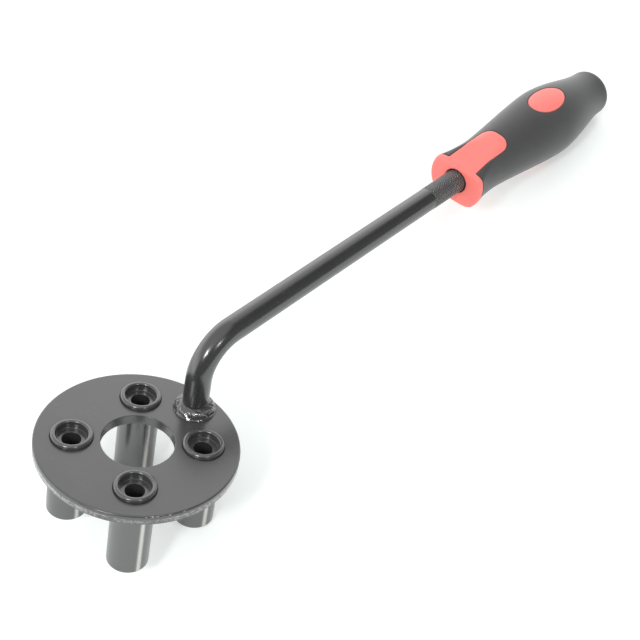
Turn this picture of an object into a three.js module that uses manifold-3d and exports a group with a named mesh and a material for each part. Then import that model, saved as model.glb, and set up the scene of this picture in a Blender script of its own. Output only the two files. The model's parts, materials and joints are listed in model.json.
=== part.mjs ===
// Clutch holder: a round steel plate with four hollow posts that bolt to a clutch hub, welded to a
// cranked bar with a two-colour moulded handle.
// Millimetres, +Z up. The tool lies as it rests on a bench: on the feet of the two posts nearest the bar
// and on the belly of the handle, which points along +X. The origin is on the bench, under the middle of
// the tool.

import * as THREE from 'three';
import { mergeVertices } from 'three/addons/utils/BufferGeometryUtils.js';
import Module from 'manifold-3d';

const { degToRad } = THREE.MathUtils;

// Clearance between pieces that are pressed, welded or moulded together
const fitGap = 0.3;

// Base plate
const plateDiameter = 90;
const plateThickness = 5;
const plateChamfer = 0.5;
const centreHoleDiameter = 32.5;

// Hollow posts, pressed through the plate
const postCount = 4;
const postCircleDiameter = 57;
const postDiameter = 18.5;
const postReach = 38;
const postChamfer = 0.5;
const collarHeight = 2;
const collarRound = 0.8;
const boltBoreDiameter = 8.5;
const boltSeatDiameter = 14;
const boltSeatDepth = 3.8;

// Cranked bar: an upright leg on the plate, a bend and a straight run that climbs away from the plate
const barDiameter = 12;
const barOffset = 34.5;
const barLegLength = 17;
const barBendRadius = 20;
const barRise = degToRad(7);
const barRunLength = 167;
const barTangLength = 96;
const barChamfer = 1;

// Knurled band where the bar enters the handle
const knurlShown = 16;
const knurlHidden = 40;
const knurlHeight = 0.3;

// Weld bead round the foot of the bar
const weldWidth = 3.5;
const weldHeight = 4.2;
const weldRipple = 0.45;
const weldRippleCount = 11;

// Handle outline, in lengths along the bar from the front face of the flange
const flangeDiameter = 32.4;
const flangeThickness = 3;
const flangeRound = 1.6;
const neckDiameter = 28.8;
const neckDistance = 21;
const bellyDiameter = 39.2;
const neckToBelly = 61;
const buttDiameter = 26.4;
const bellyToButt = 47;
const buttRound = 3.2;
const sleeveWall = 3;
const handleRoll = degToRad(5);

// Flats for the thumb, which slope down to the front of the flange, as heights over the bar's axis
const topFlatHeight = 8.8;
const lowerFlatHeight = 12.4;
const flatSlope = degToRad(10.8);

// Windows in the sleeve, one pair on top and one pair below
const tongueLength = 34;
const tongueWidth = 17.2;
const tongueFlare = 0.6;
const tongueTipRound = 7;
const ovalBeforeBelly = 4.2;
const ovalLength = 27.2;
const ovalWidth = 17;

// Facets round each turned form, and steps along each curve
const plateFacets = 72;
const postFacets = 32;
const barFacets = 24;
const weldFacets = 44;
const handleFacets = 32;
const bendSteps = 12;
const curveSteps = 6;

const wasm = await Module();
wasm.setup();

// A closed geometry as a solid that can be joined and cut. Slivers at the poles of a turned form are left
// out.
function solidFrom(geometry) {
  const bare = geometry.clone();
  bare.deleteAttribute('normal');
  bare.deleteAttribute('uv');
  const merged = mergeVertices(bare);
  const corners = merged.index.array;
  const kept = [];
  for (let i = 0; i < corners.length; i += 3) {
    const [a, b, c] = corners.slice(i, i + 3);
    if (a !== b && b !== c && c !== a) {
      kept.push(a, b, c);
    }
  }
  const vertProperties = Float32Array.from(merged.attributes.position.array);
  return new wasm.Manifold(new wasm.Mesh({ numProp: 3, vertProperties, triVerts: Uint32Array.from(kept) }));
}

// A solid back as a named mesh with its finish.
function meshFrom(name, solid, finish) {
  const { vertProperties, triVerts } = solid.getMesh();
  const geometry = new THREE.BufferGeometry();
  geometry.setAttribute('position', new THREE.BufferAttribute(vertProperties, 3));
  geometry.setIndex(new THREE.BufferAttribute(triVerts, 1));
  geometry.computeVertexNormals();
  const mesh = new THREE.Mesh(geometry, finish);
  mesh.name = name;
  return mesh;
}

// A half outline of [radius, height] points turned about Z.
function turned(outline, facets) {
  const points = outline.map(([radius, height]) => new THREE.Vector2(radius, height));
  return new THREE.LatheGeometry(points, facets).rotateX(Math.PI / 2);
}

// A plain round slug along Z, from one height to another.
function slug(diameter, low, high, facets) {
  const radius = diameter / 2;
  return turned([[0, low], [radius, low], [radius, high], [0, high]], facets);
}

const blackPaint = new THREE.MeshStandardMaterial({ color: 0x262628, roughness: 0.42, metalness: 0.35 });
const weldSteel = new THREE.MeshStandardMaterial({ color: 0x6b6a68, roughness: 0.35, metalness: 0.8 });
const redPlastic = new THREE.MeshStandardMaterial({ color: 0xe8484a, roughness: 0.5, metalness: 0 });
const blackRubber = new THREE.MeshStandardMaterial({ color: 0x333334, roughness: 0.75, metalness: 0 });

// Posts stand at even steps round the plate, with the bar midway between two of them.
const postRadius = postCircleDiameter / 2;
const postStep = (2 * Math.PI) / postCount;
const footHeight = -plateThickness - postReach;

function postCentre(index) {
  const angle = (index + 0.5) * postStep;
  return new THREE.Vector3(postRadius * Math.cos(angle), postRadius * Math.sin(angle), 0);
}

// Base plate: a chamfered ring with its top at height 0, bored for the posts.
function makePlate() {
  const rim = plateDiameter / 2;
  const hole = centreHoleDiameter / 2;
  const ring = turned([
    [hole, plateChamfer - plateThickness],
    [hole + plateChamfer, -plateThickness],
    [rim - plateChamfer, -plateThickness],
    [rim, plateChamfer - plateThickness],
    [rim, -plateChamfer],
    [rim - plateChamfer, 0],
    [hole + plateChamfer, 0],
    [hole, -plateChamfer],
    [hole, plateChamfer - plateThickness],
  ], plateFacets);
  let plate = solidFrom(ring);
  for (let i = 0; i < postCount; i += 1) {
    const { x, y } = postCentre(i);
    const bore = slug(postDiameter + 2 * fitGap, -2 * plateThickness, plateThickness, postFacets);
    plate = plate.subtract(solidFrom(bore.translate(x, y, 0)));
  }
  return meshFrom('base_plate', plate, blackPaint);
}

// Post: a turned bush that stands proud of the plate as a collar, with a bolt bore and a seat for the
// bolt's head.
function makePost(index) {
  const outer = postDiameter / 2;
  const bore = boltBoreDiameter / 2;
  const seat = boltSeatDiameter / 2;
  const seatFloor = collarHeight - boltSeatDepth;
  const bush = turned([
    [bore, footHeight],
    [outer - postChamfer, footHeight],
    [outer, footHeight + postChamfer],
    [outer, collarHeight - collarRound],
    [outer - collarRound * (1 - Math.SQRT1_2), collarHeight - collarRound * (1 - Math.SQRT1_2)],
    [outer - collarRound, collarHeight],
    [seat, collarHeight],
    [seat, seatFloor],
    [bore, seatFloor],
    [bore, footHeight],
  ], postFacets);
  const post = meshFrom(`drive_post_${index + 1}`, solidFrom(bush), blackPaint);
  post.position.copy(postCentre(index));
  return post;
}

// Centre line of the bar in the plane through the plate's axis: leg, bend, then the run into the handle.
const bendAngle = Math.PI / 2 - barRise;
const runStart = new THREE.Vector3(
  barOffset + barBendRadius * (1 - Math.cos(bendAngle)),
  0,
  barLegLength + barBendRadius * Math.sin(bendAngle),
);
const runDirection = new THREE.Vector3(Math.cos(barRise), 0, Math.sin(barRise));

class BarLine extends THREE.Curve {
  // The leg and the run are one step each, and the steps between them share out the bend.
  getPoint(t, target = new THREE.Vector3()) {
    const step = t * (bendSteps + 2);
    if (step <= 1) {
      return target.set(barOffset, 0, THREE.MathUtils.lerp(fitGap, barLegLength, step));
    }
    if (step <= bendSteps + 1) {
      const turn = ((step - 1) / bendSteps) * bendAngle;
      const forward = barOffset + barBendRadius * (1 - Math.cos(turn));
      return target.set(forward, 0, barLegLength + barBendRadius * Math.sin(turn));
    }
    const along = (step - 1 - bendSteps) * (barRunLength + barTangLength - barChamfer);
    return target.copy(runStart).addScaledVector(runDirection, along);
  }

  // Steps follow the line's own shares, so that they stay close together round the bend.
  getUtoTmapping(share) {
    return share;
  }
}

// A group whose +Z runs along the bar's straight run, from a distance along it.
function frameOnRun(distance, roll) {
  const frame = new THREE.Group();
  frame.position.copy(runStart).addScaledVector(runDirection, distance);
  frame.rotation.set(0, bendAngle, roll);
  frame.updateMatrix();
  return frame;
}

// Bar: a round section carried along the centre line, with the knurled band and a chamfered tang end.
function makeBar() {
  const radius = barDiameter / 2;
  const section = new THREE.Shape().absarc(0, 0, radius, 0, 2 * Math.PI);
  const tube = new THREE.ExtrudeGeometry(section, {
    steps: bendSteps + 2,
    curveSegments: barFacets,
    extrudePath: new BarLine(),
  });
  const bandRadius = radius + knurlHeight;
  const band = turned([
    [0, -knurlShown],
    [radius, -knurlShown],
    [bandRadius, knurlHeight - knurlShown],
    [bandRadius, knurlHidden - knurlHeight],
    [radius, knurlHidden],
    [0, knurlHidden],
  ], barFacets);
  const tangEnd = turned([
    [0, barTangLength - 2 * barChamfer],
    [radius, barTangLength - 2 * barChamfer],
    [radius, barTangLength - barChamfer],
    [radius - barChamfer, barTangLength],
    [0, barTangLength],
  ], barFacets);
  const { matrix } = frameOnRun(barRunLength, 0);
  const bar = solidFrom(tube)
    .add(solidFrom(band.applyMatrix4(matrix)))
    .add(solidFrom(tangEnd.applyMatrix4(matrix)));
  return meshFrom('cranked_bar', bar, blackPaint);
}

// Weld bead: a hollow-faced fillet turned about the leg, whose toe swells and draws in with each ripple.
function makeWeld() {
  const inner = barDiameter / 2 + fitGap;
  const toe = barDiameter / 2 + weldWidth;
  const bead = turned([
    [inner, fitGap],
    [toe, fitGap],
    [toe, fitGap + weldHeight * 0.12],
    [THREE.MathUtils.lerp(inner, toe, 0.72), weldHeight * 0.52],
    [THREE.MathUtils.lerp(inner, toe, 0.36), weldHeight * 0.86],
    [inner + weldRipple, weldHeight],
    [inner, weldHeight],
    [inner, fitGap],
  ], weldFacets);
  const place = bead.attributes.position;
  for (let i = 0; i < place.count; i += 1) {
    const angle = Math.atan2(place.getY(i), place.getX(i));
    const radius = Math.hypot(place.getX(i), place.getY(i));
    const reach = (radius - inner) / (toe - inner);
    const swell = 1 + (reach * weldRipple * Math.cos(weldRippleCount * angle)) / radius;
    place.setXY(i, place.getX(i) * swell, place.getY(i) * swell);
  }
  const weld = meshFrom('weld_bead', solidFrom(bead), weldSteel);
  weld.position.x = barOffset;
  return weld;
}

// Stations along the handle
const bellyDistance = neckDistance + neckToBelly;
const buttDistance = bellyDistance + bellyToButt;
const handleLength = buttDistance + buttRound;

// Shares of the way over which each curve of the outline stays level as it leaves and as it arrives
const neckEase = [0.12, 0.8];
const bellyEase = [0.2, 0.23];
const buttEase = [0.36, 0.3];

// A smooth curve from the outline's end to a new radius, level at both ends.
function swellTo(outline, radius, distance, [leave, arrive]) {
  const { x: startRadius, y: start } = outline.currentPoint;
  const way = distance - start;
  outline.bezierCurveTo(startRadius, start + leave * way, radius, distance - arrive * way, radius, distance);
}

// Outside of the whole handle before its flats: rounded flange, neck, belly and rounded butt.
function handleOutline() {
  const flange = flangeDiameter / 2;
  const butt = buttDiameter / 2;
  const outline = new THREE.Path().moveTo(0, 0);
  outline.lineTo(flange - flangeRound, 0);
  outline.quadraticCurveTo(flange, 0, flange, flangeRound);
  swellTo(outline, neckDiameter / 2, neckDistance, neckEase);
  swellTo(outline, bellyDiameter / 2, bellyDistance, bellyEase);
  swellTo(outline, butt, buttDistance, buttEase);
  outline.quadraticCurveTo(butt, handleLength, butt - buttRound, handleLength);
  outline.lineTo(0, handleLength);
  return outline.getPoints(curveSteps).map(({ x, y }) => [x, y]);
}

// Stem of the core: it follows the outside one sleeve wall in, and can be grown to clear the sleeve.
function stemOutline(grow) {
  const inset = grow - sleeveWall;
  const outline = new THREE.Path().moveTo(0, flangeThickness / 2);
  outline.lineTo(neckDiameter / 2 + inset, flangeThickness / 2);
  outline.lineTo(neckDiameter / 2 + inset, neckDistance);
  swellTo(outline, bellyDiameter / 2 + inset, bellyDistance, bellyEase);
  swellTo(outline, buttDiameter / 2 + inset, handleLength + inset, buttEase);
  outline.lineTo(0, handleLength + inset);
  return outline.getPoints(curveSteps).map(({ x, y }) => [x, y]);
}

// What a flat takes off the handle, on the side of -X for the top and of +X below.
function flatCut(height, side) {
  const size = 2 * bellyDiameter;
  const block = new THREE.BoxGeometry(size, size, size).translate((side * size) / 2, 0, 0);
  return solidFrom(block.rotateY(side * flatSlope).translate(side * height, 0, 0));
}

// Tongue: it leaves the flange a little flared, runs back with level sides and ends in a rounded tip.
function tongueShape(grow) {
  const side = tongueWidth / 2 + grow;
  const root = side + tongueFlare;
  const rootEnd = flangeThickness / 2;
  const level = neckDistance;
  const tip = tongueLength + grow;
  const middle = (rootEnd + level) / 2;
  const shape = new THREE.Shape().moveTo(-root, rootEnd);
  shape.lineTo(root, rootEnd);
  shape.bezierCurveTo(root, middle, side, middle, side, level);
  shape.lineTo(side, tip - tongueTipRound);
  shape.quadraticCurveTo(side, tip, side - tongueTipRound, tip);
  shape.lineTo(tongueTipRound - side, tip);
  shape.quadraticCurveTo(-side, tip, -side, tip - tongueTipRound);
  shape.lineTo(-side, level);
  shape.bezierCurveTo(-side, middle, -root, middle, -root, rootEnd);
  return shape;
}

function ovalShape(grow) {
  const centre = bellyDistance - ovalBeforeBelly;
  const across = ovalWidth / 2 + grow;
  const along = ovalLength / 2 + grow;
  return new THREE.Shape().absellipse(0, centre, across, along, 0, 2 * Math.PI);
}

// A window outline carried right across the handle, so that it opens on top and below alike.
function acrossHandle(shape) {
  const depth = 2 * bellyDiameter;
  const curveSegments = 2 * curveSteps;
  const block = new THREE.ExtrudeGeometry(shape, { depth, bevelEnabled: false, curveSegments });
  block.translate(0, 0, -depth / 2);
  return solidFrom(block.rotateX(Math.PI / 2).rotateZ(Math.PI / 2));
}

// Handle: a red core with its flange, tongues and ovals, in a black sleeve that is open where they show.
function makeHandle() {
  const flats = flatCut(topFlatHeight, -1).add(flatCut(lowerFlatHeight, 1));
  const outside = solidFrom(turned(handleOutline(), handleFacets)).subtract(flats);
  const widest = 2 * bellyDiameter;
  const flangeZone = solidFrom(slug(widest, -flangeThickness, flangeThickness, handleFacets));
  const boreDiameter = barDiameter + 2 * knurlHeight + 2 * fitGap;
  const bore = slug(boreDiameter, -flangeThickness, barTangLength + fitGap, barFacets);
  const windows = acrossHandle(tongueShape(0)).add(acrossHandle(ovalShape(0)));
  const stem = solidFrom(turned(stemOutline(0), handleFacets));
  const core = outside.intersect(flangeZone.add(windows).add(stem)).subtract(solidFrom(bore));

  const clearZone = solidFrom(slug(widest, -flangeThickness, flangeThickness + fitGap, handleFacets));
  const sleeve = outside.subtract(clearZone)
    .subtract(acrossHandle(tongueShape(fitGap)))
    .subtract(acrossHandle(ovalShape(fitGap)))
    .subtract(solidFrom(turned(stemOutline(fitGap), handleFacets)));

  const handle = frameOnRun(barRunLength, handleRoll);
  handle.add(meshFrom('handle_core', core, redPlastic));
  handle.add(meshFrom('handle_sleeve', sleeve, blackRubber));
  return handle;
}

// The tool leans towards its handle until the underside of the belly meets the bench, turning about the
// feet of the two posts nearest the bar.
function restTilt() {
  const pivotX = postCentre(0).x + postDiameter / 2 - postChamfer;
  const below = handleOutline().map(([radius, distance]) => {
    const along = barRunLength + distance;
    const x = runStart.x + runDirection.x * along + runDirection.z * radius;
    const z = runStart.z + runDirection.z * along - runDirection.x * radius;
    return Math.atan2(z - footHeight, x - pivotX);
  });
  return Math.min(...below);
}

const tool = new THREE.Group();
tool.add(makePlate());
for (let i = 0; i < postCount; i += 1) {
  tool.add(makePost(i));
}
tool.add(makeBar());
tool.add(makeWeld());
tool.add(makeHandle());
tool.rotation.y = restTilt();

// Bring the resting tool onto the bench, with its middle over the origin.
const extent = new THREE.Box3().setFromObject(tool, true);
const middle = extent.getCenter(new THREE.Vector3());
tool.position.set(-middle.x, -middle.y, -extent.min.z);

const clutchHolder = new THREE.Group();
clutchHolder.add(tool);

export default clutchHolder;
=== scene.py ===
"""Clutch holder tool: fine surfaces, finishes, floor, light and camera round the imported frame.

Metres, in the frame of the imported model: +X runs towards the butt of the handle and +Z up from the bench.
"""
import json

import bmesh
import bpy
import numpy as np
from mathutils import Matrix, Vector


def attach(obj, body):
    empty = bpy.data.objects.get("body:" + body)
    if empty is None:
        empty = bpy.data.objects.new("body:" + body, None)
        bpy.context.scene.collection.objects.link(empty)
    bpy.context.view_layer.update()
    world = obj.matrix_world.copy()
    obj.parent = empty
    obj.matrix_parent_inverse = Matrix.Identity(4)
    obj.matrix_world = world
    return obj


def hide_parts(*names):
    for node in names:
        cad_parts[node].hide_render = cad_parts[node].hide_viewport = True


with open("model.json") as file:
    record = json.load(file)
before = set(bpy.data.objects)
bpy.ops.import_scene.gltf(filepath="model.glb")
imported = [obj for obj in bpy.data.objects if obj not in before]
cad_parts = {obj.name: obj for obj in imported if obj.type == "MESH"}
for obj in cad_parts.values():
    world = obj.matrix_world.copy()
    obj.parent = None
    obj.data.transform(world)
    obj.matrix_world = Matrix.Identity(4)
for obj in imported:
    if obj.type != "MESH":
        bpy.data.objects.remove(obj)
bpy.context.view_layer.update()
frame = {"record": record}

MM = 0.001
QUARTER_TURN = np.pi / 2
HALF_TURN = np.pi
FULL_TURN = 2 * np.pi

join = np.concatenate

# Base plate
PLATE_RADIUS = 45 * MM
PLATE_THICKNESS = 5 * MM
PLATE_EDGE_ROUND = 0.8 * MM
CENTRE_HOLE_RADIUS = 16.25 * MM
HOLE_EDGE_ROUND = 0.35 * MM
RIM_NICK_DEPTH = 0.16 * MM

# Hollow posts
POST_COUNT = 4
POST_CIRCLE_RADIUS = 28.5 * MM
POST_RADIUS = 9.25 * MM
POST_HOLE_RADIUS = POST_RADIUS + 0.04 * MM
POST_REACH = 38 * MM
POST_FOOT_ROUND = 0.64 * MM
COLLAR_HEIGHT = 2 * MM
COLLAR_ROUND = 1.15 * MM
BORE_RADIUS = 4.25 * MM
SEAT_RADIUS = 7 * MM
SEAT_DEPTH = 3.8 * MM
SEAT_LIP_ROUND = 0.85 * MM
SEAT_FLOOR_ROUND = 0.3 * MM
BORE_LIP_ROUND = 0.15 * MM

# Cranked bar
BAR_RADIUS = 5.96 * MM
BAR_OFFSET = 34.5 * MM
BAR_LEG = 17 * MM
BEND_RADIUS = 20 * MM
BAR_RISE = np.radians(7)
BEND_ANGLE = QUARTER_TURN - BAR_RISE
BAR_RUN = 167 * MM
BAR_TANG = 96 * MM
BAR_END_ROUND = 1 * MM

# Diamond knurl: its stretches before and inside the handle, and the heights of its crests and roots
KNURL_SHOWN = 24.5 * MM
KNURL_HIDDEN = 3 * MM
KNURL_TEETH = 20
KNURL_SLANT = np.radians(52)
KNURL_CREST = 0.15 * MM
KNURL_ROOT = -0.22 * MM
KNURL_GROOVE = 0.5
KNURL_FADE = 1.2 * MM

# Weld bead
WELD_WIDTH = 3.75 * MM
WELD_HEIGHT = 4.2 * MM
WELD_ROLL_HEIGHT = 0.62 * MM
WELD_TOE_HEIGHT = 0.3 * MM
WELD_LUMP_HEIGHT = 0.11 * MM
WELD_INTO_BAR = 0.4 * MM
WELD_INTO_PLATE = 0.05 * MM

# Handle, in distances along the bar from the front face of the flange
FLANGE_RADIUS = 16.2 * MM
FLANGE_THICKNESS = 3 * MM
FLANGE_ROUND = 1.6 * MM
NECK_RADIUS = 14.4 * MM
NECK_AT = 21 * MM
BELLY_RADIUS = 19.54 * MM
BELLY_AT = 82 * MM
BUTT_RADIUS = 13.2 * MM
BUTT_AT = 129 * MM
BUTT_ROUND = 3.15 * MM
HANDLE_LENGTH = BUTT_AT + BUTT_ROUND
HANDLE_ROLL = np.radians(5)
SLEEVE_WALL = 3 * MM
# Flats for the thumb, which slope down to the flange, as heights over the bar's axis at the front face
TOP_FLAT = 8.8 * MM
LOWER_FLAT = 12.4 * MM
FLAT_SLOPE = np.tan(np.radians(10.8))
FLAT_BLEND = 1 * MM
FRONT_BLEND = 4.4 * MM
FRONT_BLEND_END = 20 * MM
FRONT_EASE = 2.4 * MM
# Angles from the top between which the rounding of the front edge grows by that ease
FRONT_EASE_ANGLES = (0.8, 0.3)
# Shares of the way over which each curve of the outline stays level as it leaves and as it arrives
NECK_EASE = (0.12, 0.8)
BELLY_EASE = (0.2, 0.23)
BUTT_EASE = (0.36, 0.3)
CORE_BORE_RADIUS = 6.75 * MM
CORE_BORE_ROUND = 0.5 * MM
TONGUE_TIP_AT = 34 * MM
TONGUE_SIDE = 8.6 * MM
TONGUE_FLARE = 0.6 * MM
TONGUE_TIP_ROUND = 7 * MM
TONGUE_ROOT_ROUND = 1.2 * MM
OVAL_AT = BELLY_AT - 4.2 * MM
OVAL_HALF_LENGTH = 13.6 * MM
OVAL_HALF_WIDTH = 8.5 * MM
# Seam between the two colours, and the gap between sleeve and stem
GROOVE_HALF_WIDTH = 0.12 * MM
LIP_ROUND = 0.45 * MM
MOULD_GAP = 0.05 * MM


# Places on the tool

class Place:
    """An origin and three unit directions, which turn local coordinates into points of the frame."""

    def __init__(self, origin, x, y, z):
        self.origin = origin
        self.directions = np.stack([x, y, z])

    def at(self, x, y, z):
        """Points of the frame from three arrays of local coordinates."""
        local = np.stack(np.broadcast_arrays(x, y, z), axis=-1)
        return self.origin + local @ self.directions

    def along(self, vector):
        """A direction of the frame from a local one."""
        return np.asarray(vector) @ self.directions


def unit(vector):
    """A vector over its own length."""
    return vector / np.linalg.norm(vector, axis=-1, keepdims=True)


def plate_place():
    """The middle of the plate's top face, found from the feet and bolt seats that the record names."""
    mounts = {mount["name"]: mount for mount in frame["record"]["mounts"]}
    feet = {name: np.array(mount["pos_m"]) for name, mount in mounts.items() if name.startswith("foot")}
    up = unit(np.array(mounts["bolt_seat_near_left"]["axis"]))
    ahead = unit(feet["foot_near_left"] - feet["foot_far_left"])
    side = np.cross(up, ahead)
    top = np.mean(list(feet.values()), axis=0) + (POST_REACH + PLATE_THICKNESS) * up
    return Place(top, ahead, side, up)


def handle_place(plate):
    """The front face of the handle: its first direction is the top, and its third runs along the bar."""
    run = plate.along([np.cos(BAR_RISE), 0, np.sin(BAR_RISE)])
    above = plate.along([-np.sin(BAR_RISE), 0, np.cos(BAR_RISE)])
    side = plate.along([0, 1, 0])
    run_ahead = BAR_OFFSET + BEND_RADIUS * (1 - np.cos(BEND_ANGLE))
    run_height = BAR_LEG + BEND_RADIUS * np.sin(BEND_ANGLE)
    front = plate.at(run_ahead, 0, run_height) + BAR_RUN * run
    top = np.cos(HANDLE_ROLL) * above - np.sin(HANDLE_ROLL) * side
    across = np.sin(HANDLE_ROLL) * above + np.cos(HANDLE_ROLL) * side
    return Place(front, top, across, run)


PLATE = plate_place()
HANDLE = handle_place(PLATE)


# Curves

def even_turn(segments):
    """Angles of a whole turn in even steps, with both ends."""
    return np.linspace(0, FULL_TURN, segments + 1)


def angle_from(middle, angle):
    """How far an angle lies from a middle one, from half a turn back to half a turn on."""
    return np.angle(np.exp(1j * (angle - middle)))


def smooth_step(low, high, value):
    """0 below low, 1 above high, and a curve that leaves and arrives level between them."""
    share = np.clip((value - low) / (high - low), 0, 1)
    return share * share * (3 - 2 * share)


def bell(value, middle, spread):
    """A bell curve: 1 at the middle, falling to about a third at the spread on either side."""
    return np.exp(-((value - middle) / spread) ** 2)


def running_length(line):
    """Length along a line of points, from 0 at its start: the sum of its steps so far."""
    return join([[0], np.cumsum(np.linalg.norm(np.diff(line, axis=0), axis=1))])


def rounded_outline(corners, rounds, arc_steps, step):
    """A closed outline of straight sides and true arcs: each arc is the rational curve from one side to the
    next, weighted by the sine of half the corner's angle. Sides longer than the step are shared out."""
    share = np.linspace(0, 1, arc_steps + 1)[:, None]
    stretches = []
    for i, corner in enumerate(corners):
        back = unit(corners[i - 1] - corner)
        ahead = unit(corners[(i + 1) % len(corners)] - corner)
        half = np.arccos(np.clip(back @ ahead, -1, 1)) / 2
        reach = rounds[i] / np.tan(half)
        first, middle, last = (1 - share) ** 2, 2 * np.sin(half) * share * (1 - share), share ** 2
        arc = first * (corner + reach * back) + middle * corner + last * (corner + reach * ahead)
        stretches.append(arc / (first + middle + last))
    line = join(stretches + [stretches[0][:1]])
    length = running_length(line)
    stations = np.unique(join([length, np.arange(0, length[-1], step)]).round(9))
    return np.stack([np.interp(stations, length, line[:, k]) for k in range(2)], axis=-1)


# Mesh building

WELD_DISTANCE = 1e-6


class Patch:
    """A grid of points with a measure along and across it, and a share of wear and painted shine from 0 to 1.
    """

    def __init__(self, points, along, across, wear_and_painted_shine=0.0):
        self.points = points
        self.measure = np.stack(np.broadcast_arrays(along, across), axis=-1)
        self.wear_and_painted_shine = np.broadcast_to(wear_and_painted_shine, points.shape[:2])


def turned(place, outline, angles, wear_and_painted_shine=0.0):
    """An outline of (radius, height) turned about the place's third direction, through the angles given."""
    radius, height = outline[:, :1], outline[:, 1:]
    points = place.at(radius * np.cos(angles), radius * np.sin(angles), height)
    return Patch(points, running_length(outline)[:, None], angles * np.max(radius), wear_and_painted_shine)


def add_object(name, data):
    """An object of the scene that holds a mesh, a light or a camera."""
    item = bpy.data.objects.new(name, data)
    bpy.context.scene.collection.objects.link(item)
    return item


def make_piece(name, patches, finish, node):
    """Joins the patches where their points meet, turns the faces outwards and replaces a node."""
    points = join([patch.points.reshape(-1, 3) for patch in patches])
    measures = join([patch.measure.reshape(-1, 2) for patch in patches])
    wear_and_painted_shine = join([patch.wear_and_painted_shine.reshape(-1) for patch in patches])
    faces = []
    start = 0
    for patch in patches:
        rows, columns = patch.points.shape[:2]
        grid = start + np.arange(rows * columns).reshape(rows, columns)
        corners = [grid[:-1, :-1], grid[1:, :-1], grid[1:, 1:], grid[:-1, 1:]]
        faces.append(np.stack(corners, axis=-1).reshape(-1, 4))
        start += rows * columns
    faces = join(faces)
    mesh = bpy.data.meshes.new(name)
    mesh.from_pydata(points, [], faces)
    uv = mesh.uv_layers.new(name="measure").uv
    uv.foreach_set("vector", measures[faces.ravel()].astype(np.float32).ravel())
    # Share of wear and painted shine at each point
    wear_and_shine_data = mesh.attributes.new("wear_and_painted_shine", "FLOAT", "POINT").data
    wear_and_shine_data.foreach_set("value", wear_and_painted_shine.astype(np.float32))
    shape = bmesh.new()
    shape.from_mesh(mesh)
    bmesh.ops.remove_doubles(shape, verts=shape.verts, dist=WELD_DISTANCE)
    bmesh.ops.dissolve_degenerate(shape, edges=shape.edges, dist=WELD_DISTANCE / 10)
    bmesh.ops.recalc_face_normals(shape, faces=shape.faces)
    shape.to_mesh(mesh)
    shape.free()
    mesh.polygons.foreach_set("use_smooth", np.ones(len(mesh.polygons), dtype=bool))
    mesh.materials.append(finish)
    piece = add_object(name, mesh)
    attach(piece, "root")
    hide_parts(node)


# Base plate

RIM_SEGMENTS = 128
HOLE_SEGMENTS = 48
SIDE_STEPS = 26
FACE_ROWS = 22
HOLE_ROUND_ROWS = 7
RIM_ROUND_ROWS = 10
RIM_WALL_ROWS = 9
# Small dents along the rim: their half widths in degrees, and their depths as shares of the full one
NICK_SEED = 7
NICK_COUNT = 60
NICK_WIDTHS = (0.25, 0.7)
NICK_DEPTHS = (0.1, 0.5)
# Where the rim has been knocked most, as a plate angle, its spread, and how much deeper it is dented
KNOCK_COUNT = NICK_COUNT // 3
KNOCK_AT = np.radians(-117)
KNOCK_SPREAD = np.radians(12)
KNOCK_DEPTH = 0.4
# Place and spread of the upper and lower band that a dent marks, as shares of the way down the rim
UPPER_BAND = (0.22, 0.12)
LOWER_BAND = (0.6, 0.2)
LOWER_BAND_SHARE = 0.35
# Wear of the rim's wall, partly painted reflection: the least, at a plate angle, what the sides have more,
# and where it starts and stops
RIM_WEAR_AND_PAINTED_SHINE = 0.62
RIM_PAINTED_SHINE_MORE = 0.26
RIM_PAINTED_SHINE_LEAST_AT = np.radians(-130)
RIM_WEAR_AND_SHINE_STARTS = (0.36, 0.46)
RIM_WEAR_AND_SHINE_STOPS = (0.72, 0.62)


def rim_nicks(angles):
    """Depth of the rim's small dents, from 0 to 1: narrow bell curves at seeded angles, a third of them and
    the deepest where the rim has been knocked most."""
    draw = np.random.default_rng(NICK_SEED)
    centre = draw.uniform(-HALF_TURN, HALF_TURN, NICK_COUNT)
    width = np.radians(draw.uniform(*NICK_WIDTHS, NICK_COUNT))
    depth = draw.uniform(*NICK_DEPTHS, NICK_COUNT)
    centre[:KNOCK_COUNT] = KNOCK_AT + draw.uniform(-KNOCK_SPREAD, KNOCK_SPREAD, KNOCK_COUNT)
    depth[:KNOCK_COUNT] += KNOCK_DEPTH
    away = angle_from(centre, angles[:, None])
    return np.clip(np.sum(depth * bell(away, 0, width), axis=1), 0, 1)


def post_angle(index):
    """Plate angle of a post, half way between two of the plate's own directions."""
    return (index + 0.5) * FULL_TURN / POST_COUNT


def rounded_edges(size, rows, side):
    """(Offset, height) down a quarter round at the plate's top, and down its mirror image at the bottom: the
    offset is outwards for a side of 1, as at a hole, and inwards for -1, as at the rim."""
    arc = np.linspace(0, QUARTER_TURN, rows)
    upper = size * np.stack([side * (1 - np.sin(arc)), np.cos(arc) - 1], axis=-1)
    lower = np.stack([upper[::-1, 0], -PLATE_THICKNESS - upper[::-1, 1]], axis=-1)
    return upper, lower


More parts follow.
